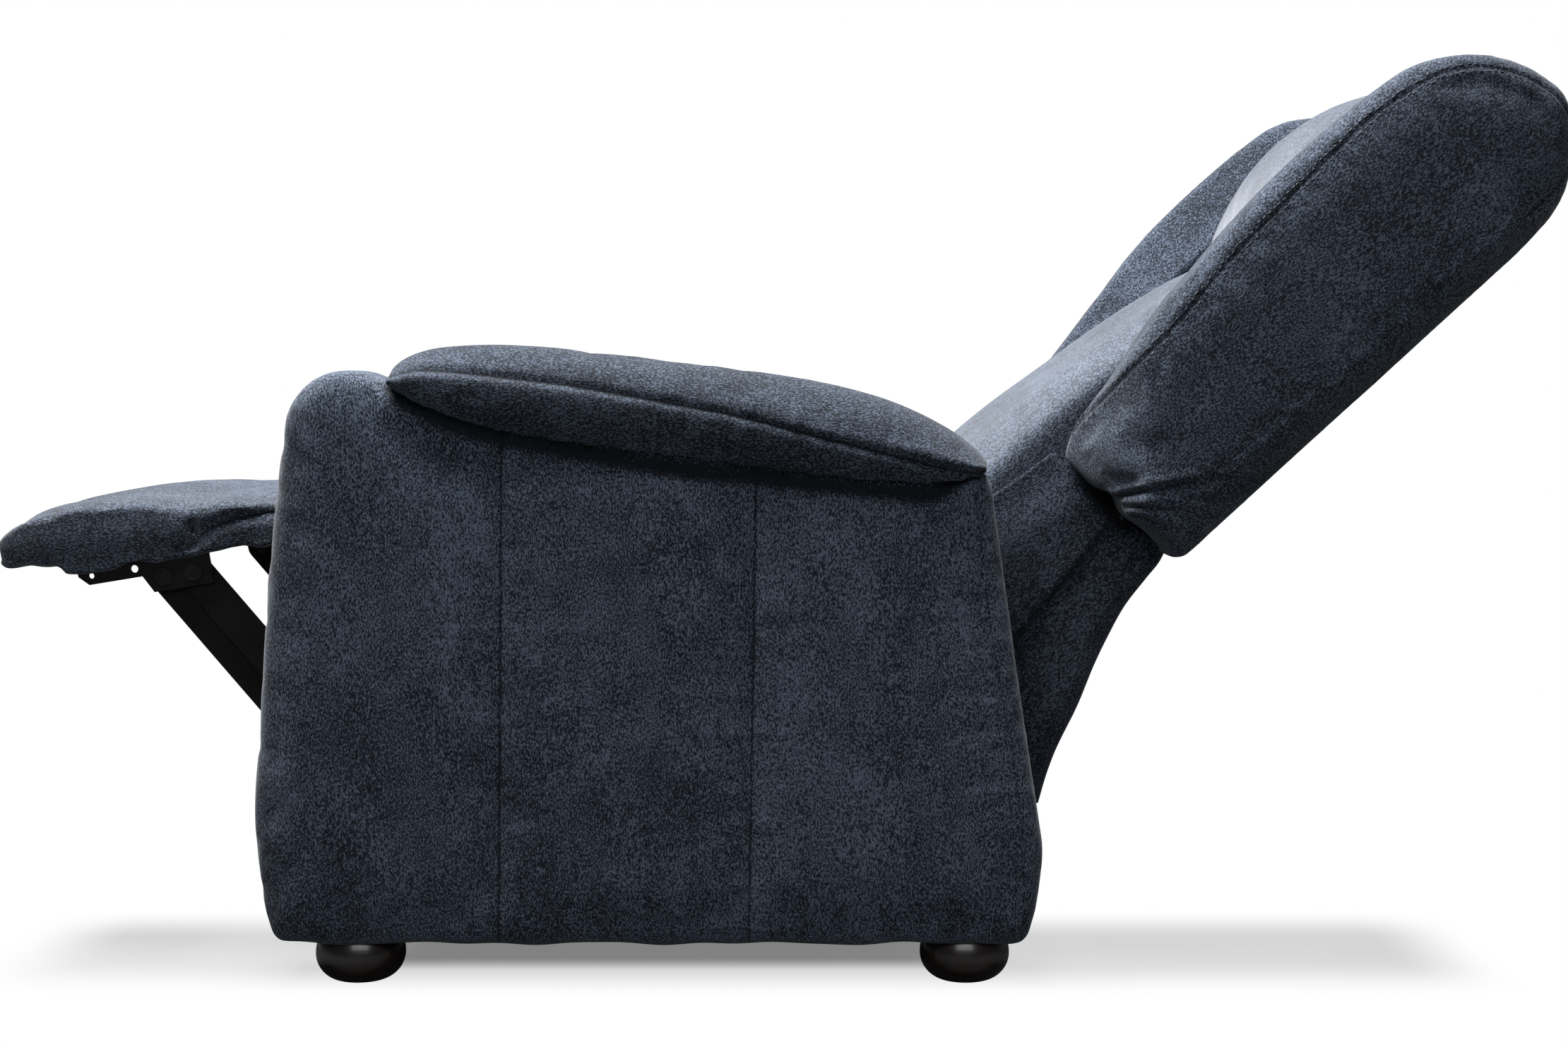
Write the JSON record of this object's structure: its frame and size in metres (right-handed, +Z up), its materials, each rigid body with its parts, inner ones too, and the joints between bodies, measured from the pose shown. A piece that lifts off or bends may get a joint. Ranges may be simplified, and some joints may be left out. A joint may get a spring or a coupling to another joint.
{
  "type": "reclining armchair",
  "caption": "Upholstered push-back reclining armchair with winged back, pillow-top arms, bun feet and a fold-out footrest on a flat-bar linkage.",
  "frame": {"origin": "floor point under the middle of the whole chair, reclined and opened out", "axes": "+X to the sitter's left, +Y to the rear, so the chair faces -Y, and +Z up"},
  "size_m": [0.7912, 1.6023, 0.9244],
  "materials": {
    "upholstery": "short-pile chenille, dark slate blue with a pale sheen",
    "frame_wood": "plain sawn",
    "foot_wood": "dark gloss lacquer",
    "mechanism_steel": "matt black paint",
    "strap_web": "woven elastic"
  },
  "bodies": {
    "chassis": {"left_arm_frame": "frame_wood", "right_arm_frame": "frame_wood", "left_arm_cover": "upholstery", "right_arm_cover": "upholstery", "left_arm_pad": "upholstery", "right_arm_pad": "upholstery", "left_base_rail": "mechanism_steel", "right_base_rail": "mechanism_steel", "front_rail": "frame_wood", "rear_rail": "frame_wood", "corner_brackets": "mechanism_steel", "base_rail_screws": "mechanism_steel", "base_pivot_pins": "mechanism_steel", "front_left_foot": "foot_wood", "front_right_foot": "foot_wood", "rear_left_foot": "foot_wood", "rear_right_foot": "foot_wood"},
    "front_swing": {"left_front_seat_link": "mechanism_steel", "right_front_seat_link": "mechanism_steel", "front_link_tube": "mechanism_steel"},
    "rear_swing": {"left_rear_seat_link": "mechanism_steel", "right_rear_seat_link": "mechanism_steel", "rear_link_tube": "mechanism_steel"},
    "seat": {"left_seat_rail": "mechanism_steel", "right_seat_rail": "mechanism_steel", "seat_front_bar": "frame_wood", "seat_rear_bar": "frame_wood", "seat_straps": "strap_web", "seat_link_pins": "mechanism_steel", "swing_arm_pins": "mechanism_steel", "back_hinge_pins": "mechanism_steel", "seat_cushion": "upholstery", "seat_deck": "upholstery", "rear_flap": "upholstery"},
    "back": {"back_frame": "frame_wood", "back_panel": "upholstery", "left_back_bracket": "mechanism_steel", "right_back_bracket": "mechanism_steel", "left_wing": "upholstery", "right_wing": "upholstery", "back_bracket_screws": "mechanism_steel", "lumbar_cushion": "upholstery", "head_cushion": "upholstery"},
    "footrest_swing": {"left_swing_arm": "mechanism_steel", "right_swing_arm": "mechanism_steel", "swing_arm_tube": "mechanism_steel", "lower_rivets": "mechanism_steel"},
    "footrest_front_links": {"left_footrest_front_link": "mechanism_steel", "right_footrest_front_link": "mechanism_steel"},
    "footrest_rear_links": {"left_footrest_rear_link": "mechanism_steel", "right_footrest_rear_link": "mechanism_steel"},
    "footrest": {"left_footrest_bracket": "mechanism_steel", "right_footrest_bracket": "mechanism_steel", "upper_rivets": "mechanism_steel", "footrest_board": "frame_wood", "footrest_board_screws": "mechanism_steel", "footrest_pad": "upholstery"}
  },
  "joints": [
    {"name": "front_seat_swing", "type": "hinge", "parent": "chassis", "child": "front_swing", "pos_m": [0, -0.1955, 0.2], "axis": [1, 0, 0], "range_deg": [-29, 0]},
    {"name": "rear_seat_swing", "type": "hinge", "parent": "chassis", "child": "rear_swing", "pos_m": [0, 0.1245, 0.2], "axis": [1, 0, 0], "range_deg": [-29, 0]},
    {"name": "seat_level", "type": "hinge", "parent": "front_swing", "child": "seat", "pos_m": [0, -0.2205, 0.29683], "axis": [1, 0, 0], "range_deg": [0, 29]},
    {"name": "back_recline", "type": "hinge", "parent": "seat", "child": "back", "pos_m": [0, 0.2495, 0.36], "axis": [1, 0, 0], "range_deg": [0, 35], "deforming": ["rear_flap"]},
    {"name": "footrest_fold", "type": "hinge", "parent": "seat", "child": "footrest_swing", "pos_m": [0, -0.3265, 0.315], "axis": [1, 0, 0], "range_deg": [0, 81]},
    {"name": "front_link_turn", "type": "hinge", "parent": "footrest_swing", "child": "footrest_front_links", "pos_m": [0, -0.47137, 0.21703], "axis": [1, 0, 0], "range_deg": [-62.85, 0]},
    {"name": "rear_link_turn", "type": "hinge", "parent": "footrest_swing", "child": "footrest_rear_links", "pos_m": [0, -0.44127, 0.22196], "axis": [1, 0, 0], "range_deg": [-62.85, 0]},
    {"name": "footrest_turn", "type": "hinge", "parent": "footrest_rear_links", "child": "footrest", "pos_m": [0, -0.5965, 0.405], "axis": [1, 0, 0], "range_deg": [0, 62.85]}
  ],
  "couplings": [
    {"joint": "front_seat_swing", "follows": "back_recline", "ratio": -0.82729},
    {"joint": "rear_seat_swing", "follows": "back_recline", "ratio": -0.82729},
    {"joint": "seat_level", "follows": "back_recline", "ratio": 0.82729},
    {"joint": "front_link_turn", "follows": "footrest_fold", "ratio": -0.77531},
    {"joint": "rear_link_turn", "follows": "footrest_fold", "ratio": -0.77531},
    {"joint": "footrest_turn", "follows": "footrest_fold", "ratio": 0.77531}
  ]
}
